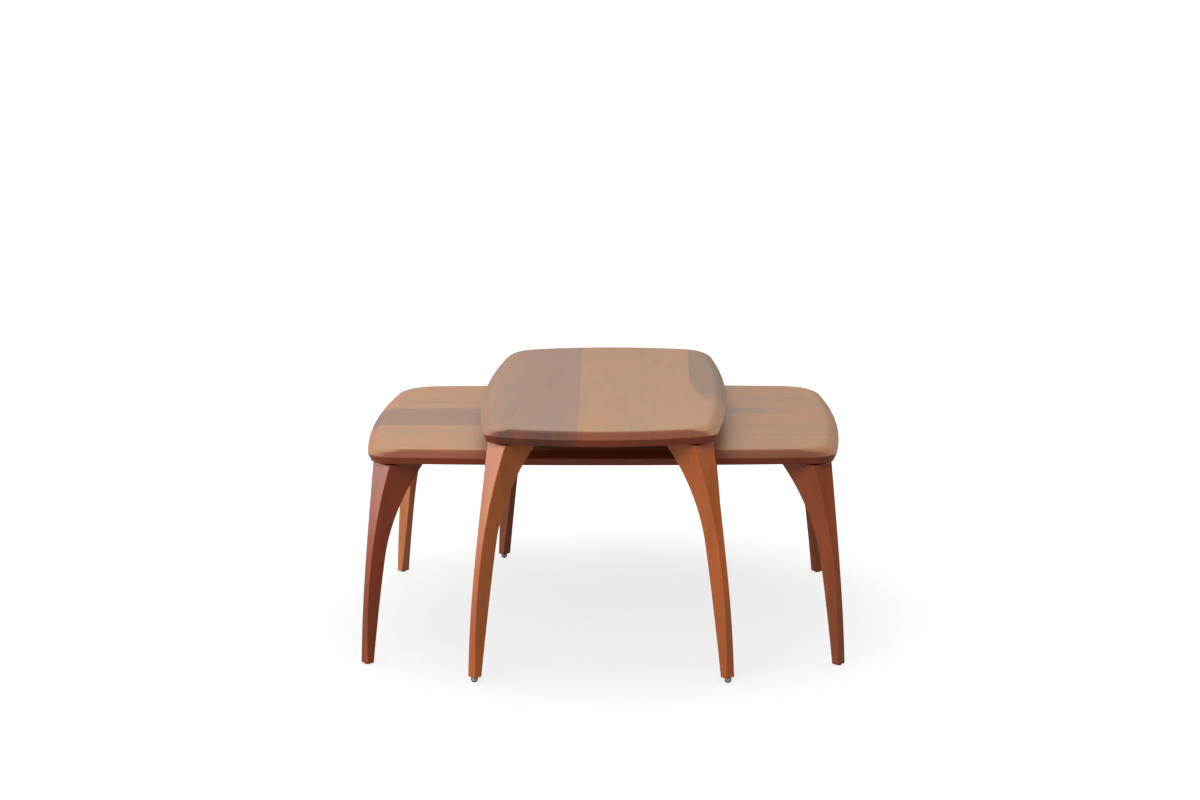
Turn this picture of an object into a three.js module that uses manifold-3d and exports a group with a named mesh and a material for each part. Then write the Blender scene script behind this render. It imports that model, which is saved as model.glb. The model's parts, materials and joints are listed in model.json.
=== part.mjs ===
// A pair of nesting coffee tables in solid wood. The taller, narrower table stands
// crosswise over the lower, wider one and rolls along X on four tiny wheels.
// Millimetres, +Z up, +X along the lower table's length. The origin is on the floor,
// under the centre of both tops.

import * as THREE from 'three';
import { mergeVertices } from 'three/addons/utils/BufferGeometryUtils.js';
import Module from 'manifold-3d';

const wasm = await Module();
wasm.setup();

// ---------------------------------------------------------------- driving dimensions

const GAP = 0.3; // air between two pieces that touch
const SKIN = 1; // how far a cutting tool runs past the face that it cuts

// The plan of a top: half sizes, the radii of its two bowed pairs of edges and its corners.
const UPPER = { height: 455, halfX: 230, halfY: 420, endBow: 600, sideBow: 2950, corner: 36 };
const LOWER = { height: 397, halfX: 440, halfY: 313, endBow: 6000, sideBow: 2100, corner: 42 };
const UPPER_FEET = { x: 225, y: 412 };
const LOWER_FEET = { x: 428, y: 308 };

// The edge of a top: a wide chamfer above, an undercut below.
const EDGE = { thickness: 26.5, chamferDrop: 13, chamferWidth: 20, chamferCrown: 1, undercut: 6 };

// A leg stands in the corner's diagonal plane: "out" is measured along the diagonal,
// away from the table's centre, "across" at right angles to it. Drops are measured down
// from the leg's top, so that both tables' legs have the same head on a longer or shorter
// shank.
const LEG = {
  footOut: 13.5, footAcross: 20,
  waistAcross: 15, waistDrop: 238, topAcross: 48, flarePower: 2.15,
  outerRadius: 1500, outerTaper: 0.012, innerTaper: 0.173, kneeDrop: 176, kneeRadius: 285,
};

const PLATE = { out: 44, across: 38, thick: 3, hole: 4.6, corner: 5 };
const BOLT = { radius: 4, inLeg: 42, inTop: 9, setback: 28, tip: 1.5 };
const GLIDE = { radius: 6, thick: 2, pin: 1.2, pinLength: 12 };

const WHEEL = { radius: 6, width: 4, rim: 1.9, hubWidth: 3.6, bore: 1.3, bevel: 0.7 };
const AXLE = { radius: 1, head: 1.9, headThick: 0.6 };
const FORK = { ear: 1, earWidth: 6.2, bridge: 1, stem: 2, stemLength: 16, hole: 1.3 };
const UPPER_FOOT_HEIGHT = 10; // the underside of the upper table's wooden feet
const RECESS = { halfX: 5.2, halfY: 3.7, depth: 3.6 };

const ROUND = 16; // sides of a small round piece
const TYRE_SIDES = 32;
const ARC = { end: 10, corner: 7, side: 10 }; // steps along the outline of a quarter top
const LEG_STEPS = 20;

// ---------------------------------------------------------------- materials

const finish = (color, roughness, metalness) =>
  new THREE.MeshStandardMaterial({ color, roughness, metalness });
const TOP_WOOD = finish(0xb98c70, 0.45, 0);
const LEG_WOOD = finish(0x9c5a38, 0.4, 0);
const STEEL = finish(0xb4b6b8, 0.35, 1);
const AXLE_STEEL = finish(0x8c8f92, 0.3, 1);
const HUB_PLASTIC = finish(0xc9ccce, 0.5, 0);
const TYRE_RUBBER = finish(0x1b1c1e, 0.7, 0);
const GLIDE_PLASTIC = finish(0x4a3a30, 0.6, 0);

// ---------------------------------------------------------------- solids

function toSolid(geometry) {
  const bare = geometry.clone();
  bare.deleteAttribute('normal');
  bare.deleteAttribute('uv');
  const merged = mergeVertices(bare, 1e-4);
  return new wasm.Manifold(new wasm.Mesh({
    numProp: 3,
    vertProperties: new Float32Array(merged.attributes.position.array),
    triVerts: new Uint32Array(merged.index.array),
  }));
}

function toGeometry(solid) {
  const { vertProperties, triVerts } = solid.getMesh();
  const geometry = new THREE.BufferGeometry();
  geometry.setAttribute('position', new THREE.BufferAttribute(vertProperties, 3));
  geometry.setIndex(new THREE.BufferAttribute(triVerts, 1));
  return geometry;
}

const cut = (geometry, ...tools) =>
  toGeometry(tools.reduce((solid, tool) => solid.subtract(toSolid(tool)), toSolid(geometry)));
const join = (geometry, ...others) =>
  toGeometry(others.reduce((solid, other) => solid.add(toSolid(other)), toSolid(geometry)));

// A solid skinned over closed rings of equal length, listed from the lowest up, each
// running anticlockwise as seen from above.
function loft(rings) {
  const count = rings[0].length;
  const points = rings.flat();
  const faces = [];
  for (let level = 0; level < rings.length - 1; level++) {
    for (let i = 0; i < count; i++) {
      const a = level * count + i;
      const b = level * count + (i + 1) % count;
      faces.push(a, b, b + count, a, b + count, a + count);
    }
  }
  const capCentre = (ring) =>
    ring.reduce((sum, p) => sum.add(p), new THREE.Vector3()).divideScalar(count);
  const bottom = points.push(capCentre(rings[0])) - 1;
  const top = points.push(capCentre(rings.at(-1))) - 1;
  const last = (rings.length - 1) * count;
  for (let i = 0; i < count; i++) {
    const next = (i + 1) % count;
    faces.push(bottom, next, i, top, last + i, last + next);
  }
  const geometry = new THREE.BufferGeometry().setFromPoints(points);
  geometry.setIndex(faces);
  return geometry;
}

// A round solid about the Z axis from its profile of (radius, height) pairs.
function turned(profile, sides = ROUND) {
  const points = profile.map(([radius, height]) => new THREE.Vector2(radius, height));
  return new THREE.LatheGeometry(points, sides).rotateX(Math.PI / 2);
}

// A plain round bar about Z between two heights.
const bar = (radius, low, high, sides = ROUND) =>
  turned([[0, low], [radius, low], [radius, high], [0, high]], sides);

function box(halfX, halfY, low, high) {
  return new THREE.BoxGeometry(2 * halfX, 2 * halfY, high - low)
    .translate(0, 0, (low + high) / 2);
}

// ---------------------------------------------------------------- tops

// The outline of a top set in by a distance: bowed ends and sides meeting in round
// corners. Every arc keeps its centre, so that the inset is parallel to the outline.
function outline(top, inset) {
  const ends = new THREE.Vector2(0, top.halfY - top.endBow);
  const sides = new THREE.Vector2(top.halfX - top.sideBow, 0);
  const span = ends.distanceTo(sides);
  const toSides = sides.clone().sub(ends).divideScalar(span);
  const endReach = top.endBow - top.corner;
  const sideReach = top.sideBow - top.corner;
  const along = (endReach ** 2 - sideReach ** 2 + span ** 2) / (2 * span);
  const away = Math.sqrt(endReach ** 2 - along ** 2);
  const offset = new THREE.Vector2(-toSides.y, toSides.x).multiplyScalar(-away);
  let centre = ends.clone().addScaledVector(toSides, along).add(offset);
  if (centre.x < 0 || centre.y < 0) {
    centre = ends.clone().addScaledVector(toSides, along).sub(offset);
  }
  const sideAngle = centre.clone().sub(sides).angle();
  const endAngle = centre.clone().sub(ends).angle();
  const arc = (middle, radius, from, to, steps) => Array.from({ length: steps }, (_, i) => {
    const angle = from + (to - from) * i / steps;
    return new THREE.Vector2(Math.cos(angle), Math.sin(angle))
      .multiplyScalar(radius - inset).add(middle);
  });
  const quarter = [
    ...arc(sides, top.sideBow, 0, sideAngle, ARC.side),
    ...arc(centre, top.corner, sideAngle, endAngle, ARC.corner),
    ...arc(ends, top.endBow, endAngle, Math.PI / 2, ARC.end),
  ];
  const tip = new THREE.Vector2(0, top.halfY - inset);
  const half = [...quarter, tip, ...quarter.slice(1).reverse()
    .map((p) => new THREE.Vector2(-p.x, p.y))];
  return [...half, ...half.map((p) => p.clone().negate())];
}

function topSlab(top) {
  const ring = (inset, height) =>
    outline(top, inset).map((p) => new THREE.Vector3(p.x, p.y, height));
  const arris = top.height - EDGE.chamferDrop;
  return loft([
    ring(EDGE.undercut, top.height - EDGE.thickness),
    ring(0, arris),
    ring(EDGE.chamferWidth / 2, arris + EDGE.chamferDrop / 2 + EDGE.chamferCrown),
    ring(EDGE.chamferWidth, top.height),
  ]);
}

// ---------------------------------------------------------------- legs

const underside = (top) => top.height - EDGE.thickness;
const legTop = (top) => underside(top) - PLATE.thick - 2 * GAP;

const sag = (radius, run) => radius - Math.sqrt(radius ** 2 - run ** 2);
const outerCurve = (height) =>
  LEG.footOut / 2 - LEG.outerTaper * height - sag(LEG.outerRadius, height);

function innerCurve(height, top) {
  const knee = legTop(top) - LEG.kneeDrop;
  return -LEG.footOut / 2 - LEG.innerTaper * height
    - sag(LEG.kneeRadius, Math.max(0, height - knee));
}

function legAcross(height, top) {
  const waist = legTop(top) - LEG.waistDrop;
  if (height < waist) {
    const fall = 1 - height / waist;
    return LEG.waistAcross + (LEG.footAcross - LEG.waistAcross) * fall ** 2;
  }
  const rise = (height - waist) / LEG.waistDrop;
  return LEG.waistAcross + (LEG.topAcross - LEG.waistAcross) * rise ** LEG.flarePower;
}

// The distance along the diagonal from the foot's centre to the bolt that holds the leg.
const boltOut = (top) => outerCurve(legTop(top)) - BOLT.setback;

// One leg about its foot's centre, with "out" along +X and "across" along Y.
function legBlank(top, footHeight) {
  const rings = [];
  for (let i = 0; i <= LEG_STEPS; i++) {
    const height = footHeight + (legTop(top) - footHeight) * i / LEG_STEPS;
    const half = legAcross(height, top) / 2;
    const out = outerCurve(height);
    const inner = innerCurve(height, top);
    rings.push([[out, -half], [out, half], [inner, half], [inner, -half]]
      .map(([x, y]) => new THREE.Vector3(x, y, height)));
  }
  return loft(rings);
}

function leg(top, footHeight, footTools) {
  const high = legTop(top);
  const boltHole = bar(BOLT.radius + GAP, high - BOLT.inLeg - GAP, high + SKIN)
    .translate(boltOut(top), 0, 0);
  return cut(legBlank(top, footHeight), boltHole, ...footTools);
}

// The steel plate between a leg and its top, about the bolt, along the leg's own axes.
function plate() {
  const x = PLATE.out / 2;
  const y = PLATE.across / 2;
  const r = PLATE.corner;
  const shape = new THREE.Shape();
  shape.moveTo(-x + r, -y);
  shape.lineTo(x - r, -y);
  shape.lineTo(x, -y + r);
  shape.lineTo(x, y - r);
  shape.lineTo(x - r, y);
  shape.lineTo(-x + r, y);
  shape.lineTo(-x, y - r);
  shape.lineTo(-x, -y + r);
  shape.closePath();
  shape.holes.push(new THREE.Path().absarc(0, 0, PLATE.hole, 0, 2 * Math.PI, true));
  return new THREE.ExtrudeGeometry(shape, {
    depth: PLATE.thick, bevelEnabled: false, curveSegments: ROUND / 2,
  });
}

function hangerBolt(top) {
  const low = legTop(top) - BOLT.inLeg;
  const high = underside(top) + BOLT.inTop;
  const { radius, tip } = BOLT;
  return turned([
    [0, low], [radius - tip, low], [radius, low + 2 * tip],
    [radius, high - tip], [radius - tip, high], [0, high],
  ]);
}

// ---------------------------------------------------------------- feet

// A nail-on glide: a round head on the floor and a pin up into the leg.
function glide() {
  const { radius, thick, pin, pinLength } = GLIDE;
  return turned([
    [0, 0], [radius - thick / 2, 0], [radius, thick / 2], [radius, thick],
    [pin, thick], [pin, thick + pinLength], [0, thick + pinLength],
  ]);
}

const aboutY = (geometry) => geometry.rotateX(Math.PI / 2).translate(0, 0, WHEEL.radius);

function tyre() {
  const { radius, width, rim, bevel } = WHEEL;
  const inside = radius - rim;
  const half = width / 2;
  return aboutY(turned([
    [inside, -half], [radius - bevel, -half], [radius, bevel - half],
    [radius, half - bevel], [radius - bevel, half], [inside, half], [inside, -half],
  ], TYRE_SIDES));
}

function hub() {
  const half = WHEEL.hubWidth / 2;
  const rim = WHEEL.radius - WHEEL.rim - GAP;
  return aboutY(turned([
    [WHEEL.bore, -half], [rim, -half], [rim, half], [WHEEL.bore, half], [WHEEL.bore, -half],
  ], ROUND));
}

const earOuter = () => WHEEL.width / 2 + GAP + FORK.ear;

// The pin through the wheel, with a head over each ear of the fork.
function axle() {
  const seat = earOuter() + GAP;
  const end = seat + AXLE.headThick;
  return aboutY(turned([
    [0, -end], [AXLE.head, -end], [AXLE.head, -seat], [AXLE.radius, -seat],
    [AXLE.radius, seat], [AXLE.head, seat], [AXLE.head, end], [0, end],
  ]));
}

// A bent steel fork: two ears with round ends, the bridge between them and a stem that
// goes up into the leg.
function fork() {
  const bridgeLow = WHEEL.radius * 2 + GAP;
  const bridgeHigh = bridgeLow + FORK.bridge;
  const half = FORK.earWidth / 2;
  const outer = earOuter();
  const ear = (y) => {
    const shape = new THREE.Shape();
    shape.moveTo(half, WHEEL.radius);
    shape.lineTo(half, bridgeHigh);
    shape.lineTo(-half, bridgeHigh);
    shape.lineTo(-half, WHEEL.radius);
    shape.absarc(0, WHEEL.radius, half, Math.PI, 2 * Math.PI, false);
    shape.holes.push(new THREE.Path().absarc(0, WHEEL.radius, FORK.hole, 0, 2 * Math.PI, true));
    return new THREE.ExtrudeGeometry(shape, {
      depth: FORK.ear, bevelEnabled: false, curveSegments: ROUND / 2,
    }).rotateX(Math.PI / 2).translate(0, y, 0);
  };
  return join(
    ear(outer),
    ear(FORK.ear - outer),
    box(half, outer, bridgeLow, bridgeHigh),
    bar(FORK.stem, bridgeLow, bridgeHigh + FORK.stemLength),
  );
}

// ---------------------------------------------------------------- assembly

const CORNERS = [
  { name: 'front_left', sx: -1, sy: -1 },
  { name: 'front_right', sx: 1, sy: -1 },
  { name: 'rear_left', sx: -1, sy: 1 },
  { name: 'rear_right', sx: 1, sy: 1 },
];

const group = new THREE.Group();

function add(parent, name, geometry, material) {
  const mesh = new THREE.Mesh(geometry, material);
  mesh.name = name;
  parent.add(mesh);
}

// A top with a blind hole over each leg for the end of its bolt.
function drilledTop(top, feet) {
  const reach = boltOut(top) / Math.SQRT2;
  const holes = CORNERS.map(({ sx, sy }) =>
    bar(BOLT.radius + GAP, underside(top) - SKIN, underside(top) + BOLT.inTop + GAP)
      .translate(sx * (feet.x + reach), sy * (feet.y + reach), 0));
  return cut(topSlab(top), ...holes);
}

// The leg, plate and bolt of one corner, in a group turned to the corner's diagonal.
function legGroup(table, top, feet, footHeight, corner, footTools) {
  const { name, sx, sy } = corner;
  const angle = Math.atan2(sy, sx);
  const turnedTools = footTools.map((tool) => tool.clone().rotateZ(-angle));
  const legFrame = new THREE.Group();
  legFrame.position.set(sx * feet.x, sy * feet.y, 0);
  legFrame.rotation.z = angle;
  add(legFrame, `${table}_leg_${name}`, leg(top, footHeight, turnedTools), LEG_WOOD);
  add(legFrame, `${table}_leg_plate_${name}`,
    plate().translate(boltOut(top), 0, legTop(top) + GAP), STEEL);
  add(legFrame, `${table}_hanger_bolt_${name}`,
    hangerBolt(top).translate(boltOut(top), 0, 0), STEEL);
  group.add(legFrame);
}

function wheelGroup(feet, { name, sx, sy }) {
  const frame = new THREE.Group();
  frame.position.set(sx * feet.x, sy * feet.y, 0);
  add(frame, `wheel_fork_${name}`, fork(), STEEL);
  add(frame, `wheel_axle_${name}`, axle(), AXLE_STEEL);
  add(frame, `wheel_hub_${name}`, hub(), HUB_PLASTIC);
  add(frame, `wheel_tyre_${name}`, tyre(), TYRE_RUBBER);
  group.add(frame);
}

add(group, 'upper_top', drilledTop(UPPER, UPPER_FEET), TOP_WOOD);
add(group, 'lower_top', drilledTop(LOWER, LOWER_FEET), TOP_WOOD);

const stemHole = bar(FORK.stem + GAP, UPPER_FOOT_HEIGHT,
  2 * WHEEL.radius + FORK.bridge + FORK.stemLength + 3 * GAP);
const wheelRecess = box(RECESS.halfX, RECESS.halfY,
  UPPER_FOOT_HEIGHT - SKIN, UPPER_FOOT_HEIGHT + RECESS.depth);
const lowerFootHeight = GLIDE.thick + GAP;
const glideHole = bar(GLIDE.pin + GAP, lowerFootHeight - SKIN,
  GLIDE.thick + GLIDE.pinLength + GAP);

for (const corner of CORNERS) {
  legGroup('upper', UPPER, UPPER_FEET, UPPER_FOOT_HEIGHT, corner, [wheelRecess, stemHole]);
  wheelGroup(UPPER_FEET, corner);
  legGroup('lower', LOWER, LOWER_FEET, lowerFootHeight, corner, [glideHole]);
  const frame = new THREE.Group();
  frame.position.set(corner.sx * LOWER_FEET.x, corner.sy * LOWER_FEET.y, 0);
  add(frame, `foot_glide_${corner.name}`, glide(), GLIDE_PLASTIC);
  group.add(frame);
}

export default group;
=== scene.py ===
"""A pair of nesting coffee tables in lacquered solid wood, on a white studio floor.

The upper table stands crosswise over the lower one and rolls along X on four tiny wheels.
Lengths are in metres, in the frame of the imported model: Z up, X along the lower table.
"""

import json
import math

import bmesh
import bpy
from mathutils import Matrix, Vector


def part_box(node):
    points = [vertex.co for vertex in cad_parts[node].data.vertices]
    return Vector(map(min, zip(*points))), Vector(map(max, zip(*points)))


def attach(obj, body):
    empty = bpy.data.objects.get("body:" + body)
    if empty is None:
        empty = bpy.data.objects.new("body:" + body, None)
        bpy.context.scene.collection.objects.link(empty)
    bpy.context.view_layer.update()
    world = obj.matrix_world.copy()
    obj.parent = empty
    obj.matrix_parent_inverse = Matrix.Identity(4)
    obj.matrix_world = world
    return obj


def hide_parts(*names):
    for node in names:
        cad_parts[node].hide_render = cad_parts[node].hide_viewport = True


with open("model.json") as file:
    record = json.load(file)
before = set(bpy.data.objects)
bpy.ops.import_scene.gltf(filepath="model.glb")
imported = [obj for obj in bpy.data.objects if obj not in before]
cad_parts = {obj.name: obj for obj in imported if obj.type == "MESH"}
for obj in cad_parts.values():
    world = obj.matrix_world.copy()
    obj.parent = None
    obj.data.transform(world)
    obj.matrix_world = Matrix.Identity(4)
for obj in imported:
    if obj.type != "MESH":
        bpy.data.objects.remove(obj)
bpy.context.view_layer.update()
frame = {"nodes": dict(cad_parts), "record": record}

# ---------------------------------------------------------------- dimensions

# Radii of the bowed ends (front and rear), the bowed sides and the corners of a top.
UPPER_OUTLINE = {"end_bow": 0.600, "side_bow": 2.950, "corner": 0.036}
LOWER_OUTLINE = {"end_bow": 6.000, "side_bow": 2.100, "corner": 0.042}
ARC_STEPS = {"side": 22, "corner": 16, "end": 26}  # along a quarter of a top

# The edge of a top: a wide crowned chamfer above the arris, an undercut below it.
CHAMFER_DROP = 0.013
CHAMFER_WIDTH = 0.020
CHAMFER_CROWN = 0.001
UNDERCUT = 0.006
# How much the corners of the chamfer gain in radius for each metre further in.
CORNER_GROWTH = 1.0
# Where the edge profile ends on the flats above and below, measured in from the arris.
FLAT_INSET = 0.031
CROWN_RADIUS = 0.030
FLAT_RADIUS = 0.021
ARRIS_RADIUS = 0.0012
LOWER_RADIUS = 0.0010

# A leg leans in its corner's diagonal plane. Drops are measured down from its top, and a
# taper is how far a face moves out (outer) or in (inner) for each metre of height.
FOOT_OUT = 0.0135
FOOT_ACROSS = 0.020
WAIST_ACROSS = 0.015
WAIST_DROP = 0.238
TOP_ACROSS = 0.048
FLARE_POWER = 2.15
OUTER_RADIUS = 1.500
OUTER_TAPER = 0.012
INNER_TAPER = 0.173
KNEE_DROP = 0.176
KNEE_RADIUS = 0.285
LEG_ARRIS = 0.0011
LEG_END_EASE = 0.0008
LEG_LEVELS = 64

WHEEL_POCKET = {"half_x": 0.0052, "half_y": 0.0037, "depth": 0.0036}
RUNNING_GAP = 0.0003  # between two parts of a wheel
TYRE_WIDTH = 0.004
TYRE_RIM = 0.0019
TYRE_ROUNDING = 0.0006
HUB_BORE = 0.0013
HUB_BOSS = 0.0021
HUB_SLOPE = 0.0003  # run of the slope from the boss down to the sunk web
HUB_DISH = 0.0004  # how far the web is sunk, and the slope at the rim
HUB_SETBACK = 0.0002
AXLE_RADIUS = 0.001
AXLE_HEAD = 0.0019
AXLE_HEAD_THICK = 0.0006
FORK_SHEET = 0.001
FORK_WIDTH = 0.0062
FORK_BEND = 0.0009
FORK_TIP = 0.0003  # half the width of the sheet at the tip of an ear
FORK_EAR_STEPS = 12
GLIDE_THICK = 0.002

# Faces that meet at a larger angle than this, in degrees, have a sharp edge between them.
SMOOTH_ANGLE = 32
MERGE_DISTANCE = 1e-7
EMPTY_AREA = 1e-14

CORNERS = {
    "front_left": (-1, -1),
    "front_right": (1, -1),
    "rear_left": (-1, 1),
    "rear_right": (1, 1),
}

BODY_OF = {
    node: body
    for body, nodes in frame["record"]["behaviour"]["bodies"].items()
    for node in nodes
}


# ---------------------------------------------------------------- camera and studio


# The camera stands in front and looks slightly down. Angles are in radians.
CAMERA_PLACE = (0.109, -4.480, 1.358)
CAMERA_TURN = 0.0265
CAMERA_DIP = 0.205
CAMERA_ROLL = -0.006
CAMERA_LENS = 72
CAMERA_SENSOR = 36

# The centre, width, height and watts of each soft box. All of them face LIGHT_AIM.
LIGHT_AIM = (0, 0, 0.3)
SOFTBOXES = {
    "softbox_left": ((-3.2, 0.0, 1.0), 3.0, 1.6, 58),
    "softbox_right": ((3.2, 0.0, 2.0), 2.0, 2.0, 16),
    "softbox_rear": ((-0.5, 2.6, 2.8), 3.0, 2.0, 18),
    "softbox_front_left": ((-1.8, -3.0, 2.6), 2.0, 2.0, 60),
    "softbox_front": ((0.2, -3.6, 2.8), 2.0, 1.6, 35),
}

# The world as a light: the direction and strength of each glow.
WORLD_GLOWS = (((0, 1, 0.1), 0.90), ((0, 0, 1), 1.20))
GLOW_EDGE = 0.5  # cosine of the angle from its middle at which a glow has faded out
BACKDROP_STRENGTH = 1.05

FLOOR_RADIUS = 60
FLOOR_SIDES = 96
# The floor's own glow is dimmer under the tables, a painted shadow: radius and strength, inside and
# outside.
FLOOR_GLOW_AND_PAINTED_SHADOW = {"low": 0.3, "high": 1.15, "start": 0.70, "end": 1.0}
FLOOR_GREY_TO_LIGHT = (0.42, 0.42, 0.42, 1)
FLOOR_GREY_TO_CAMERA = (0.25, 0.25, 0.25, 1)


def make_camera():
    camera = bpy.data.objects.new("camera", bpy.data.cameras.new("camera"))
    camera.data.sensor_width = CAMERA_SENSOR
    camera.data.lens = CAMERA_LENS
    camera.data.clip_end = 200
    place = Matrix.Translation(CAMERA_PLACE)
    turn = Matrix.Rotation(CAMERA_TURN, 4, "Z")
    tilt = Matrix.Rotation(math.pi / 2 - CAMERA_DIP, 4, "X")
    roll = Matrix.Rotation(CAMERA_ROLL, 4, "Z")
    camera.matrix_world = place @ turn @ tilt @ roll
    bpy.context.scene.collection.objects.link(camera)
    bpy.context.scene.camera = camera


def make_softbox(name, centre, width, height, watts):
    lamp = bpy.data.lights.new(name, "AREA")
    lamp.shape = "RECTANGLE"
    lamp.size = width
    lamp.size_y = height
    lamp.energy = watts
    box = bpy.data.objects.new(name, lamp)
    box.location = centre
    direction = Vector(LIGHT_AIM) - Vector(centre)
    box.rotation_euler = direction.to_track_quat("-Z", "Y").to_euler()
    bpy.context.scene.collection.objects.link(box)


def make_world():
    """White to the camera; as a light, a bright wall behind the tables and a glow above."""
    world = bpy.data.worlds.new("studio")
    bpy.context.scene.world = world
    world.use_nodes = True
    tree = world.node_tree
    tree.nodes.clear()
    link = tree.links.new
    place = tree.nodes.new("ShaderNodeTexCoord")
    glows = []
    for direction, strength in WORLD_GLOWS:
        toward = tree.nodes.new("ShaderNodeVectorMath")
        toward.operation = "DOT_PRODUCT"
        toward.inputs[1].default_value = direction
        link(place.outputs["Generated"], toward.inputs[0])
        glow = tree.nodes.new("ShaderNodeMapRange")
        glow.interpolation_type = "SMOOTHSTEP"
        glow.inputs["From Min"].default_value = GLOW_EDGE
        glow.inputs["From Max"].default_value = 1.0
        glow.inputs["To Max"].default_value = strength
        link(toward.outputs["Value"], glow.inputs["Value"])
        glows.append(glow.outputs["Result"])
    both = tree.nodes.new("ShaderNodeMath")
    both.operation = "ADD"
    link(glows[0], both.inputs[0])
    link(glows[1], both.inputs[1])
    light = tree.nodes.new("ShaderNodeBackground")
    link(both.outputs[0], light.inputs["Strength"])
    backdrop = tree.nodes.new("ShaderNodeBackground")
    backdrop.inputs["Strength"].default_value = BACKDROP_STRENGTH
    path = tree.nodes.new("ShaderNodeLightPath")
    mix = tree.nodes.new("ShaderNodeMixShader")
    link(path.outputs["Is Camera Ray"], mix.inputs[0])
    link(light.outputs[0], mix.inputs[1])
    link(backdrop.outputs[0], mix.inputs[2])
    output = tree.nodes.new("ShaderNodeOutputWorld")
    link(mix.outputs[0], output.inputs["Surface"])


def make_floor():
    """A wide white disc: overexposed to the camera but for a painted shadow under the tables, and a
    dimmer light for the tables.
    """
    mesh = bpy.data.meshes.new("floor")
    shape = bmesh.new()
    bmesh.ops.create_circle(shape, cap_ends=True, segments=FLOOR_SIDES, radius=FLOOR_RADIUS)
    shape.to_mesh(mesh)
    shape.free()
    floor = bpy.data.objects.new("floor", mesh)
    bpy.context.scene.collection.objects.link(floor)
    graph = Graph("floor_white")
    place = graph.node("ShaderNodeTexCoord", {}).outputs["Object"]
    distance = graph.node("ShaderNodeVectorMath", {0: place}, operation="LENGTH").outputs["Value"]
    # Painted shadow: the floor's glow is dimmer near the middle, under the tables.
    glow = graph.step(distance, **FLOOR_GLOW_AND_PAINTED_SHADOW)
    seen = graph.node("ShaderNodeLightPath", {}).outputs["Is Camera Ray"]
    graph.feed(
        graph.shader,
        {
            "Base Color": graph.mix(seen, FLOOR_GREY_TO_LIGHT, FLOOR_GREY_TO_CAMERA),
            "Roughness": 0.9,
            "Specular IOR Level": 0.0,
            "Emission Color": (1, 1, 1, 1),
            "Emission Strength": graph.math("MULTIPLY", glow, seen),
        },
    )
    mesh.materials.append(graph.material)


# ---------------------------------------------------------------- materials

BUMP_STRENGTH = 0.5
WOOD_RELIEF = 0.00012
FINE_GRAIN = 900.0  # per metre, on the plain materials


def srgb(red, green, blue):
    """A colour given as 0 to 255 per channel, as linear red, green, blue and alpha."""

    def linear(value):
        share = value / 255
        return share / 12.92 if share <= 0.04045 else ((share + 0.055) / 1.055) ** 2.4

    return linear(red), linear(green), linear(blue), 1.0


class Graph:
    """A material's node tree, with a short call for each kind of step."""

    def __init__(self, name):
        self.material = bpy.data.materials.new(name)
        self.material.use_nodes = True
        self.tree = self.material.node_tree
        self.tree.nodes.clear()
        self.shader = self.node("ShaderNodeBsdfPrincipled", {})
        output = self.node("ShaderNodeOutputMaterial", {})
        self.tree.links.new(self.shader.outputs[0], output.inputs["Surface"])

    def feed(self, node, inputs):
        for key, value in inputs.items():
            if isinstance(value, bpy.types.NodeSocket):
                self.tree.links.new(value, node.inputs[key])
            else:
                node.inputs[key].default_value = value

    def node(self, kind, inputs, **settings):
        node = self.tree.nodes.new(kind)
        for key, value in settings.items():
            setattr(node, key, value)
        self.feed(node, inputs)
        return node

    def math(self, operation, first, second=0.0, third=0.0):
        inputs = {0: first, 1: second, 2: third}
        return self.node("ShaderNodeMath", inputs, operation=operation).outputs[0]

    def vector(self, operation, first, second):
        inputs = {0: first, 1: second}
        return self.node("ShaderNodeVectorMath", inputs, operation=operation).outputs[0]

    def scale(self, vector, factor):
        inputs = {0: vector, "Scale": factor}
        return self.node("ShaderNodeVectorMath", inputs, operation="SCALE").outputs[0]

    def step(self, value, low, high, start=0.0, end=1.0):
        """A smooth rise from start to end as value goes from low to high."""
        inputs = {
            "Value": value,
            "From Min": low,
            "From Max": high,
            "To Min": start,
            "To Max": end,
        }
        node = self.node("ShaderNodeMapRange", inputs, interpolation_type="SMOOTHSTEP")
        return node.outputs["Result"]

    def mix(self, share, first, second, blend="MIX"):
        inputs = {0: share, 6: first, 7: second}
        node = self.node("ShaderNodeMix", inputs, data_type="RGBA", blend_type=blend)
        return node.outputs[2]

    def noise(self, place, stretch, detail=2.0, roughness=0.5):
        """Noise with its own frequency, per metre, along each axis of place."""
        stretched = self.vector("MULTIPLY", place, stretch)
        inputs = {"Vector": stretched, "Scale": 1.0, "Detail": detail, "Roughness": roughness}
        return self.node("ShaderNodeTexNoise", inputs).outputs["Fac"]

    def bump(self, height, distance):
        inputs = {"Height": height, "Distance": distance, "Strength": BUMP_STRENGTH}
        return self.node("ShaderNodeBump", inputs).outputs[0]


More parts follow.
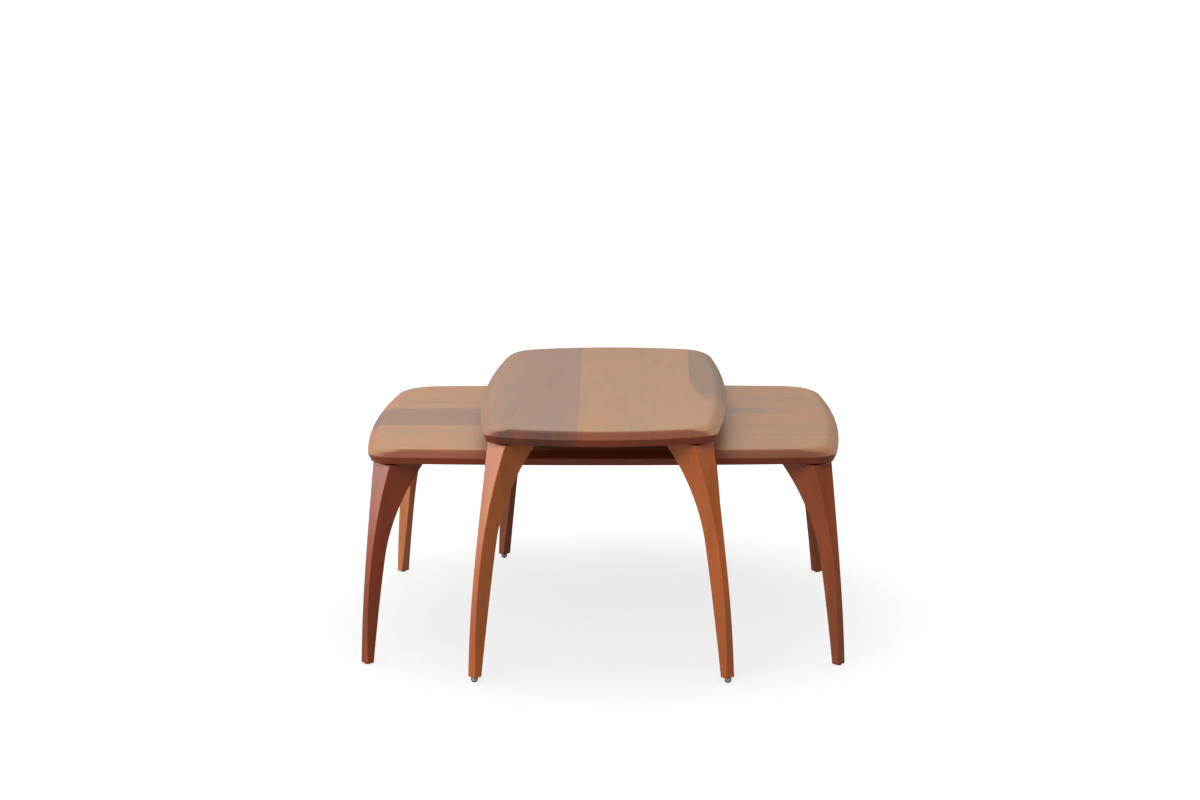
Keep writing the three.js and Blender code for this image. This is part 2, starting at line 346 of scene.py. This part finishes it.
class Plank(Graph):
    """Wood, worked out in plank coordinates: across the boards, along the grain, through."""

    def __init__(self, name, rotation, seed):
        super().__init__(name)
        source = self.node("ShaderNodeTexCoord", {})
        turned = self.node(
            "ShaderNodeMapping",
            {"Vector": source.outputs["Object"], "Rotation": rotation},
        )
        self.place = turned.outputs[0]
        facing = self.node(
            "ShaderNodeMapping",
            {"Vector": source.outputs["Normal"], "Rotation": rotation},
            vector_type="VECTOR",
        )
        self.facing = self.split(facing.outputs[0])
        # How far a face of the object turns to the front or, just the same, to the rear; it picks
        # the chamfers and edges that take painted shade.
        self.fore = self.math("ABSOLUTE", self.split(source.outputs["Normal"])[1])
        self.end = self.step(self.math("ABSOLUTE", self.facing[1]), 0.2, 0.6)
        self.across, self.along, self.through = self.split(self.place)
        self.seed = seed

    def split(self, vector):
        return self.node("ShaderNodeSeparateXYZ", {0: vector}).outputs[:]

    def line(self, offset, slope, softness, wobble=0.0):
        """0 on the low side of a line along the grain and 1 past it, with a soft edge."""
        drift = self.math("MULTIPLY_ADD", self.along, slope, offset)
        distance = self.math("SUBTRACT", self.across, drift)
        if wobble:
            wave = self.noise(self.place, (9, 5, 9), 2.0)
            distance = self.math("MULTIPLY_ADD", self.math("SUBTRACT", wave, 0.5), wobble, distance)
        return self.step(distance, -softness / 2, softness / 2)

    def band(self, value, centre, inner, outer):
        """1 where value is within inner of the centre, falling to 0 at outer."""
        away = self.math("ABSOLUTE", self.math("SUBTRACT", value, centre))
        return self.step(away, inner, outer, 1.0, 0.0)

    def smear(self, across, along, half_width, half_length):
        """A long soft patch in the grain."""
        wide = self.band(self.across, across, half_width * 0.2, half_width)
        long = self.band(self.along, along, half_length * 0.5, half_length)
        return self.math("MULTIPLY", wide, long)

    def finish(self, tone, boards, tune):
        """Grain, pores and end grain over a tone, painted shade and sheen on the sloped faces, and
        the satin lacquer.

        boards is a number that jumps from board to board, so that the grain breaks there.
        """
        shift = self.math("MULTIPLY", boards, 0.37)
        slide = self.math("MULTIPLY", boards, 1.9)
        jump = self.node("ShaderNodeCombineXYZ", {0: shift, 1: slide, 2: self.seed}).outputs[0]
        place = self.vector("ADD", self.place, jump)
        streaks = self.noise(place, (55, 1.6, 55), 4.0, 0.55)
        end_lines = self.noise(place, (130, 1.6, 18), 3.0, 0.6)
        fibres = self.noise(place, (620, 14, 620), 3.0, 0.6)
        clouds = self.noise(place, (13, 7, 13), 2.0, 0.5)
        wisps = self.step(self.noise(place, (42, 5.5, 42), 3.0, 0.55), 0.52, 0.72)
        pores = self.step(self.noise(place, (1500, 60, 1500), 1.0, 0.5), 0.64, 0.74)
        # Painted light multiplied into the tone of the sloped faces: shade on chamfers and edges
        # that face front or rear, sheen on the side chamfers.
        for low, high, side_painted_light, fore_painted_shade in tune["slopes"]:
            slope = self.step(self.facing[2], low, high, 1.0, 0.0)
            tint = self.mix(self.step(self.fore, *tune["turn"]), side_painted_light, fore_painted_shade)
            tone = self.mix(slope, tone, tint, "MULTIPLY")

        end_depth = self.math("MULTIPLY", self.end, tune["end_streaks"])
        shade = self.math("MULTIPLY_ADD", self.math("SUBTRACT", streaks, 0.5), tune["streaks"], 1.0)
        for layer, depth in (
            (self.math("SUBTRACT", end_lines, 0.5), end_depth),
            (self.math("SUBTRACT", fibres, 0.5), tune["fibres"]),
            (wisps, -tune["wisps"]),
            (pores, -tune["pores"]),
        ):
            shade = self.math("MULTIPLY", shade, self.math("MULTIPLY_ADD", layer, depth, 1.0))
        warm = self.mix(self.step(clouds, 0.3, 0.7), tune["cool"], tune["warm"])
        colour = self.scale(self.mix(1.0, tone, warm, "MULTIPLY"), shade)

        relief = self.math("MULTIPLY_ADD", pores, -1.0, self.math("MULTIPLY", fibres, 0.5))
        rough = self.math("MULTIPLY_ADD", fibres, 0.08, tune["roughness"])
        self.feed(
            self.shader,
            {
                "Base Color": colour,
                "Roughness": rough,
                "Normal": self.bump(relief, WOOD_RELIEF),
                "IOR": 1.5,
            },
        )
        return self.material


TAN = srgb(176, 123, 71)
LIGHT_TAN = srgb(183, 129, 80)
WARM_TAN = srgb(175, 119, 65)
MAUVE = srgb(154, 111, 83)
OLIVE = srgb(141, 102, 65)
PALE = srgb(165, 118, 81)
KNOT = srgb(122, 102, 84)
# Leg tones by table, with three legs by node. The upper rear-left leg is darker, a painted shade,
# and the lower rear-left leg lighter, a painted light; the lower front-left leg is darker and
# redder.
LEG_TONES_AND_PAINTED_LIGHT = {
    "upper": srgb(195, 104, 45),
    "lower": srgb(160, 80, 38),
    "upper_leg_rear_left": srgb(153, 80, 34),
    "lower_leg_rear_left": srgb(205, 121, 65),
    "lower_leg_front_left": srgb(152, 67, 27),
}

# How strong each layer of the grain is, and its painted light. Each of the slopes has a low and a
# high normal z, between which its tint fades out, a tint for side faces and one for front and rear
# faces: the front and rear tints are painted shade on the chamfer and the undercut edge, the side
# tint of the chamfer is a painted sheen, and that of the edge a slight painted shade. turn is the
# range over which a face that turns to front or rear takes the second tint.
TOP_TUNE = {
    "streaks": 0.16,
    "end_streaks": 0.6,
    "fibres": 0.16,
    "wisps": 0.09,
    "pores": 0.22,
    "slopes": (
        (0.86, 0.97, (0.95, 0.91, 1.02, 1), (0.56, 0.28, 0.19, 1)),
        (-0.2, 0.5, (1.0, 0.95, 0.90, 1), (0.92, 0.60, 0.30, 1)),
    ),
    "turn": (0.29, 0.46),
    "cool": (0.95, 1.0, 1.02, 1),
    "warm": (1.06, 0.98, 0.94, 1),
    "roughness": 0.36,
}
LOWER_TUNE = dict(TOP_TUNE, turn=(0.20, 0.38))
LEG_TUNE = dict(TOP_TUNE, streaks=0.34, end_streaks=0.2, wisps=0.05, roughness=0.28, slopes=())


def upper_wood():
    """Boards along Y: mauve heartwood on the left, tan in the middle, olive at the right."""
    wood = Plank("upper_top_wood", (0, 0, 0), 0.0)
    seam = wood.line(-0.047, -0.02, 0.0008)
    sap = wood.line(-0.178, 0.0, 0.05, 0.06)
    left = wood.mix(sap, PALE, MAUVE)
    knots = wood.step(wood.noise(wood.place, (75, 2, 8), 3.0, 0.6), 0.40, 0.60)
    knots = wood.math("MULTIPLY", knots, wood.band(wood.across, -0.125, 0.035, 0.085))
    left = wood.mix(wood.math("MULTIPLY", knots, wood.end), left, KNOT)
    # The heart figure at the right keeps to the rear and swings out to the edge in front.
    bend = wood.math("MAXIMUM", wood.math("SUBTRACT", 0.07, wood.along), 0.0)
    swing = wood.math("MULTIPLY", wood.math("POWER", bend, 1.7), 0.42)
    reach = wood.math("SUBTRACT", wood.across, swing)
    heart = wood.step(reach, 0.158, 0.164)
    heart = wood.math("MULTIPLY", heart, wood.step(wood.along, -0.20, -0.06))
    right = wood.mix(heart, TAN, OLIVE)
    return wood.finish(wood.mix(seam, left, right), seam, TOP_TUNE)


def lower_wood():
    """Boards along X, so that across is Y and along is -X."""
    wood = Plank("lower_top_wood", (0, 0, -math.pi / 2), 5.3)
    rear = wood.line(0.064, -0.01, 0.0012)
    # The heart's front boundary rises in two swings toward +X, and frays out there.
    rise = wood.step(wood.along, 0.02, -0.20, 0.0, 0.110)
    tip = wood.step(wood.along, -0.28, -0.36, 0.0, 0.06)
    fray = wood.math("SUBTRACT", wood.noise(wood.place, (90, 9, 90), 2.0), 0.5)
    reach = wood.math("SUBTRACT", wood.across, wood.math("ADD", rise, tip))
    reach = wood.math("MULTIPLY_ADD", wood.math("MULTIPLY", fray, rise), 0.5, reach)
    front = wood.step(reach, -0.096, -0.086)
    heart = wood.math("MAXIMUM", wood.math("SUBTRACT", front, rear), 0.0)
    for smear in ((0.155, -0.325, 0.024, 0.085), (0.120, 0.345, 0.014, 0.060)):
        heart = wood.math("MULTIPLY_ADD", wood.smear(*smear), 0.5, heart)
    ground = wood.mix(wood.step(wood.along, -0.30, 0.30), WARM_TAN, LIGHT_TAN)
    tone = wood.mix(heart, ground, MAUVE)
    return wood.finish(tone, rear, LOWER_TUNE)


def leg_wood(name, tone, seed):
    """Grain along the height of the leg."""
    wood = Plank(name, (math.pi / 2, 0, 0), seed)
    blotch = wood.noise(wood.place, (18, 4, 18), 2.0)
    darker = tuple(channel * 0.80 for channel in tone[:3]) + (1,)
    tone = wood.mix(wood.step(blotch, 0.35, 0.7), tone, darker)
    return wood.finish(tone, 0.0, LEG_TUNE)


def plain(name, colour, roughness, metallic=0.0, speckle=0.1, relief=0.00003):
    """A moulded, coated or plated surface with fine unevenness in tone, gloss and height."""
    graph = Graph(name)
    source = graph.node("ShaderNodeTexCoord", {}).outputs["Object"]
    grain = graph.noise(source, (FINE_GRAIN,) * 3, 3.0, 0.6)
    cloud = graph.noise(source, (FINE_GRAIN / 8,) * 3, 2.0)
    darker = tuple(channel * (1 - speckle) for channel in colour[:3]) + (1,)
    graph.feed(
        graph.shader,
        {
            "Base Color": graph.mix(graph.step(cloud, 0.3, 0.7), colour, darker),
            "Roughness": graph.math("MULTIPLY_ADD", grain, 0.16, roughness - 0.08),
            "Metallic": metallic,
            "Normal": graph.bump(grain, relief),
        },
    )
    return graph.material


# ---------------------------------------------------------------- mesh helpers


def make_piece(name, shape, material):
    """Turns a bmesh into an object with outward faces, smooth but for its sharp edges."""
    bmesh.ops.remove_doubles(shape, verts=shape.verts, dist=MERGE_DISTANCE)
    bmesh.ops.recalc_face_normals(shape, faces=shape.faces)
    mesh = bpy.data.meshes.new(name)
    shape.to_mesh(mesh)
    shape.free()
    mesh.shade_smooth()
    mesh.set_sharp_from_angle(angle=math.radians(SMOOTH_ANGLE))
    mesh.materials.append(material)
    piece = bpy.data.objects.new(name, mesh)
    bpy.context.scene.collection.objects.link(piece)
    return piece


def stand_for(piece, node):
    """The piece takes a CAD node's place and rides on its body."""
    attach(piece, BODY_OF[node])
    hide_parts(node)


def join_rows(shape, rows, closed=True):
    """Faces from each row of points to the next; in a closed row the last point meets the first."""
    count = len(rows[0])
    for low, high in zip(rows, rows[1:]):
        for i in range(count if closed else count - 1):
            j = (i + 1) % count
            shape.faces.new((low[i], low[j], high[j], high[i]))


def skin(rings):
    """A bmesh over rings of equal length, with flat ends."""
    shape = bmesh.new()
    rows = [[shape.verts.new(point) for point in ring] for ring in rings]
    join_rows(shape, rows)
    shape.faces.new(rows[0])
    shape.faces.new(rows[-1])
    return shape


def round_corner(before, corner, after, radius, steps, support):
    """An arc in place of a corner, with a point on the straight at each side of it."""
    back = (before - corner).normalized()
    ahead = (after - corner).normalized()
    half = back.angle(ahead) / 2
    reach = radius / math.tan(half)
    centre = corner + (back + ahead).normalized() * (radius / math.sin(half))
    start = corner + back * reach - centre
    end = corner + ahead * reach - centre
    sweep = math.pi - 2 * half
    arc = [
        centre
        + (start * math.sin(sweep * (1 - i / steps)) + end * math.sin(sweep * i / steps))
        / math.sin(sweep)
        for i in range(steps + 1)
    ]
    return [corner + back * (reach + support), *arc, corner + ahead * (reach + support)]


def revolve(profile, sides, closed=False):
    """A bmesh turned about the Y axis from (radius, y) pairs."""
    rings = []
    for i in range(sides):
        angle = 2 * math.pi * i / sides
        rings.append([(r * math.cos(angle), y, r * math.sin(angle)) for r, y in profile])
    shape = bmesh.new()
    rows = [[shape.verts.new(point) for point in ring] for ring in rings]
    join_rows(shape, rows + rows[:1], closed)
    bmesh.ops.remove_doubles(shape, verts=shape.verts, dist=MERGE_DISTANCE)
    flat = [face for face in shape.faces if face.calc_area() < EMPTY_AREA]
    bmesh.ops.delete(shape, geom=flat, context="FACES")
    return shape


# ---------------------------------------------------------------- tops


def outline(half_x, half_y, end_bow, side_bow, corner):
    """The plan of a top: bowed ends and sides and round corners, each of them an arc."""
    ends = Vector((0, half_y - end_bow))
    sides = Vector((half_x - side_bow, 0))
    span = (sides - ends).length
    to_sides = (sides - ends) / span
    end_reach, side_reach = end_bow - corner, side_bow - corner
    share = (end_reach**2 - side_reach**2 + span**2) / (2 * span)
    away = math.sqrt(end_reach**2 - share**2)
    normal = Vector((-to_sides.y, to_sides.x))
    middle = max(
        (ends + to_sides * share + normal * away * sign for sign in (-1, 1)),
        key=lambda point: point.x + point.y,
    )
    side_angle = math.atan2(*(middle - sides).yx)
    end_angle = math.atan2(*(middle - ends).yx)

    def arc(centre, radius, start, end, steps):
        angles = [start + (end - start) * i / steps for i in range(steps)]
        return [centre + Vector((math.cos(a), math.sin(a))) * radius for a in angles]

    quarter = [
        *arc(sides, side_bow, 0, side_angle, ARC_STEPS["side"]),
        *arc(middle, corner, side_angle, end_angle, ARC_STEPS["corner"]),
        *arc(ends, end_bow, end_angle, math.pi / 2, ARC_STEPS["end"]),
    ]
    half = quarter + [Vector((0, half_y))]
    half += [Vector((-p.x, p.y)) for p in reversed(quarter[1:])]
    return half + [-p for p in half]


def edge_profile(height, thickness):
    """(inset, height) from the flat of the top over the chamfer and undercut to beneath."""
    bottom = height - thickness
    crown = height - CHAMFER_DROP / 2 + CHAMFER_CROWN
    # Each corner between the two flats: inset, height, radius, arc steps, support.
    corners = [
        (CHAMFER_WIDTH, height, FLAT_RADIUS, 8, 0.001),
        (CHAMFER_WIDTH / 2, crown, CROWN_RADIUS, 4, 0.001),
        (0, height - CHAMFER_DROP, ARRIS_RADIUS, 4, 0.0006),
        (UNDERCUT, bottom, LOWER_RADIUS, 4, 0.0006),
    ]
    start = Vector((FLAT_INSET, height))
    end = Vector((FLAT_INSET, bottom))
    points = [start, *(Vector(corner[:2]) for corner in corners), end]
    profile = [start]
    for i, (_, _, radius, steps, support) in enumerate(corners):
        profile += round_corner(*points[i : i + 3], radius, steps, support)
    return profile + [end]


def make_top(node, form, material):
    """A board in its CAD node's box. form holds the radii of its outline."""
    low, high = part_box(node)
    half_x, half_y = (high.x - low.x) / 2, (high.y - low.y) / 2
    shape = bmesh.new()
    rows = []
    arris = high.z - CHAMFER_DROP
    for inset, height in edge_profile(high.z, high.z - low.z):
        growth = CORNER_GROWTH if height > arris else -1
        bows = (form["end_bow"] - inset, form["side_bow"] - inset)
        corner = form["corner"] + growth * inset
        ring = outline(half_x - inset, half_y - inset, *bows, corner)
        rows.append([shape.verts.new((p.x, p.y, height)) for p in ring])
    join_rows(shape, rows)
    # The two flats are strips that run straight across from edge to edge.
    count = len(rows[0])
    for row in (rows[0], rows[-1]):
        for i in range(count // 2):
            strip = [row[i], row[i + 1], row[count - i - 1], row[-i]]
            shape.faces.new(list(dict.fromkeys(strip)))
    piece = make_piece(f"{node}_board", shape, material)
    stand_for(piece, node)


# ---------------------------------------------------------------- legs


def sag(radius, run):
    """How far an arc has fallen away from its tangent after a run along it."""
    return radius - math.sqrt(radius**2 - run**2)


def leg_section(height, leg_top, shrink):
    """The rounded cross-section of a leg: out along X, across along Y."""
    outer = FOOT_OUT / 2 - OUTER_TAPER * height - sag(OUTER_RADIUS, height)
    bend = sag(KNEE_RADIUS, max(0, height - (leg_top - KNEE_DROP)))
    inner = -FOOT_OUT / 2 - INNER_TAPER * height - bend
    waist = leg_top - WAIST_DROP
    if height < waist:
        across = WAIST_ACROSS + (FOOT_ACROSS - WAIST_ACROSS) * (1 - height / waist) ** 2
    else:
        rise = (height - waist) / WAIST_DROP
        across = WAIST_ACROSS + (TOP_ACROSS - WAIST_ACROSS) * rise**FLARE_POWER
    half = across / 2 - shrink
    outer, inner = outer - shrink, inner + shrink
    corners = [Vector(c) for c in ((outer, -half), (outer, half), (inner, half), (inner, -half))]
    ring = []
    for i, corner in enumerate(corners):
        before, after = corners[i - 1], corners[(i + 1) % 4]
        ring += round_corner(before, corner, after, LEG_ARRIS, 4, 0.0006)
    return [(p.x, p.y, height) for p in ring]


def leg_shape(foot, leg_top):
    """A leg from its foot to its top, with both ends eased. Its levels are (height, shrink)."""
    ease = LEG_END_EASE
    ends = [(foot, ease), (foot + ease * 0.3, ease * 0.3), (foot + ease, 0)]
    levels = list(ends)
    for i in range(1, LEG_LEVELS):
        levels.append((foot + (leg_top - foot) * i / LEG_LEVELS, 0))
    levels += [(leg_top - (height - foot), shrink) for height, shrink in reversed(ends)]
    return skin([leg_section(height, leg_top, shrink) for height, shrink in levels])


def cut_pocket(piece, centre):
    """The pocket in the underside of a foot that takes the top of the wheel."""
    shape = bmesh.new()
    bmesh.ops.create_cube(shape, size=2)
    mesh = bpy.data.meshes.new("pocket")
    shape.to_mesh(mesh)
    shape.free()
    cutter = bpy.data.objects.new("pocket", mesh)
    bpy.context.scene.collection.objects.link(cutter)
    cutter.location = centre
    cutter.scale = (WHEEL_POCKET["half_x"], WHEEL_POCKET["half_y"], WHEEL_POCKET["depth"])
    modifier = piece.modifiers.new("pocket", "BOOLEAN")
    modifier.object = cutter
    modifier.solver = "EXACT"
    bpy.context.view_layer.update()
    bpy.context.view_layer.objects.active = piece
    bpy.ops.object.modifier_apply(modifier=modifier.name)
    bpy.data.objects.remove(cutter)
    bpy.data.meshes.remove(mesh)


def foot_centres(corner):
    """Where the wheel and the glide of a corner stand, as two points in plan."""
    wheel_low, wheel_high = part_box(f"wheel_tyre_{corner}")
    glide_low, glide_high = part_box(f"foot_glide_{corner}")
    return (wheel_low + wheel_high) / 2, (glide_low + glide_high) / 2


def make_legs(corner, signs, number):
    """The two legs of a corner, each turned to lean outward along its diagonal."""
    angle = math.atan2(signs[1], signs[0])
    for table, centre in zip(("upper", "lower"), foot_centres(corner)):
        node = f"{table}_leg_{corner}"
        low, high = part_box(node)
        seed = 1.7 * number + (9 if table == "lower" else 0)
        # The two rear-left legs take tones of their own that hold painted shade (upper) and painted
        # light (lower).
        tone = LEG_TONES_AND_PAINTED_LIGHT.get(node, LEG_TONES_AND_PAINTED_LIGHT[table])
        material = leg_wood(f"{node}_wood", tone, seed)
        piece = make_piece(f"{node}_shaft", leg_shape(low.z, high.z), material)
        piece.location = (centre.x, centre.y, 0)
        piece.rotation_euler = (0, 0, angle)
        if table == "upper":
            cut_pocket(piece, (centre.x, centre.y, low.z))
        stand_for(piece, node)


# ---------------------------------------------------------------- feet


def make_glide(corner, material):
    """A domed nail-on glide, from the middle of its underside out to the rim and back."""
    node = f"foot_glide_{corner}"
    low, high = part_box(node)
    centre = (low + high) / 2
    radius = (high.x - low.x) / 2
    profile = [
        (0, 0),
        (radius * 0.55, 0.00005),
        (radius * 0.82, 0.0003),
        (radius * 0.96, 0.0009),
        (radius, 0.0015),
        (radius * 0.98, GLIDE_THICK),
        (0, GLIDE_THICK),
    ]
    shape = revolve([(r, -y) for r, y in profile], 32)
    shape.transform(Matrix.Rotation(-math.pi / 2, 4, "X"))
    piece = make_piece(f"{node}_head", shape, material)
    piece.location = (centre.x, centre.y, low.z)
    stand_for(piece, node)


def ring_profile(corners, radius):
    """A closed profile with all its corners rounded."""
    points = [Vector(c) for c in corners]
    ring = []
    for i, corner in enumerate(points):
        after = points[(i + 1) % len(points)]
        ring += round_corner(points[i - 1], corner, after, radius, 4, 0.00005)
    return [(p.x, p.y) for p in ring]


def mirrored(profile):
    """The (radius, y) pairs of a profile in reverse order, at the other side of y = 0."""
    return [(r, -y) for r, y in reversed(profile)]


def tyre_shape(radius, bore, half):
    tread = [(bore, -half), (radius, -half), (radius, half), (bore, half)]
    return revolve(ring_profile(tread, TYRE_ROUNDING), 48, True)


def hub_shape(rim, half):
    """A disc with a boss about the axle and a sunk web between the boss and the rim."""
    web = half - HUB_DISH
    left = [
        (HUB_BORE, -half),
        (HUB_BOSS, -half),
        (HUB_BOSS + HUB_SLOPE, -web),
        (rim - HUB_DISH, -web),
        (rim, -half),
    ]
    return revolve(left + mirrored(left), 40, True)


def axle_shape(seat):
    """A pin with a domed head at each end, which starts at seat."""
    dome = seat + AXLE_HEAD_THICK
    right = [
        (AXLE_RADIUS, seat),
        (AXLE_HEAD, seat),
        (AXLE_HEAD, seat + 0.0002),
        (AXLE_HEAD * 0.8, dome - 0.0001),
        (0, dome),
    ]
    return revolve(mirrored(right) + right, 32)


def make_wheel(corner, rubber, plastic, steel, zinc):
    """The tyre, hub, axle and fork of one wheel, made about the centre of its tyre."""
    low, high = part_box(f"wheel_tyre_{corner}")
    radius = (high.z - low.z) / 2
    half = TYRE_WIDTH / 2
    bore = radius - TYRE_RIM
    seat = half + RUNNING_GAP + FORK_SHEET + RUNNING_GAP
    parts = (
        ("tyre", "ring", tyre_shape(radius, bore, half), rubber, "tyre_rubber"),
        ("hub", "disc", hub_shape(bore - RUNNING_GAP, half - HUB_SETBACK), plastic, "hub_plastic"),
        ("axle", "pin", axle_shape(seat), zinc, "bolt_steel"),
        ("fork", "bracket", fork_shape(radius), steel, "fork_steel"),
    )
    for part, form, shape, material, slot in parts:
        node = f"wheel_{part}_{corner}"
        piece = make_piece(f"{node}_{form}", shape, material)
        piece.location = (low + high) / 2
        stand_for(piece, node)


def fork_shape(radius):
    """A strip of sheet steel bent into a fork, with round ends about the axle."""
    middle = TYRE_WIDTH / 2 + RUNNING_GAP + FORK_SHEET / 2
    crown = radius + RUNNING_GAP + FORK_SHEET / 2
    half_width = FORK_WIDTH / 2
    # The strip's centre line, with the half width of the strip at each point.
    line = []
    for i in range(FORK_EAR_STEPS + 1):
        angle = math.pi / 2 * i / FORK_EAR_STEPS
        point = Vector((middle, -half_width * math.cos(angle)))
        line.append((point, max(half_width * math.sin(angle), FORK_TIP)))
    corner = Vector((middle, crown))
    arc = round_corner(Vector((middle, 0)), corner, Vector((0, crown)), FORK_BEND, 6, 0.0002)
    line += [(point, half_width) for point in arc]
    line += [(Vector((-p.x, p.y)), w) for p, w in reversed(line)]
    rings = []
    for i, (point, width) in enumerate(line):
        before, after = line[max(i - 1, 0)][0], line[min(i + 1, len(line) - 1)][0]
        along = (after - before).normalized()
        side = Vector((-along.y, along.x)) * FORK_SHEET / 2
        ring = []
        for x, reach in ((-width, -1), (width, -1), (width, 1), (-width, 1)):
            spot = point + side * reach
            ring.append((x, spot.x, spot.y))
        rings.append(ring)
    return skin(rings)


# ---------------------------------------------------------------- the scene

make_camera()
make_world()
for box_name, softbox in SOFTBOXES.items():
    make_softbox(box_name, *softbox)
make_floor()
bpy.context.scene.view_settings.view_transform = "Standard"

make_top("upper_top", UPPER_OUTLINE, upper_wood())
make_top("lower_top", LOWER_OUTLINE, lower_wood())

RUBBER = plain("tyre_rubber", srgb(14, 14, 15), 0.6, relief=0.00006)
HUB = plain("hub_plastic", srgb(230, 231, 232), 0.45)
FORK = plain("fork_steel", srgb(244, 245, 246), 0.4, speckle=0.04)
ZINC = plain("bolt_steel", srgb(178, 181, 186), 0.36, metallic=0.6)
PLATE = plain("plate_steel", srgb(26, 25, 25), 0.5)
GLIDE = plain("glide_plastic", srgb(128, 74, 46), 0.5)

for number, (name, signs) in enumerate(CORNERS.items()):
    make_legs(name, signs, number)
    make_glide(name, GLIDE)
    make_wheel(name, RUBBER, HUB, FORK, ZINC)
    for table_name in ("upper", "lower"):
        for cad_part, coat in (("leg_plate", PLATE), ("hanger_bolt", ZINC)):
            cad_object = frame["nodes"][f"{table_name}_{cad_part}_{name}"]
            cad_object.data.materials.clear()
            cad_object.data.materials.append(coat)

bpy.context.view_layer.update()
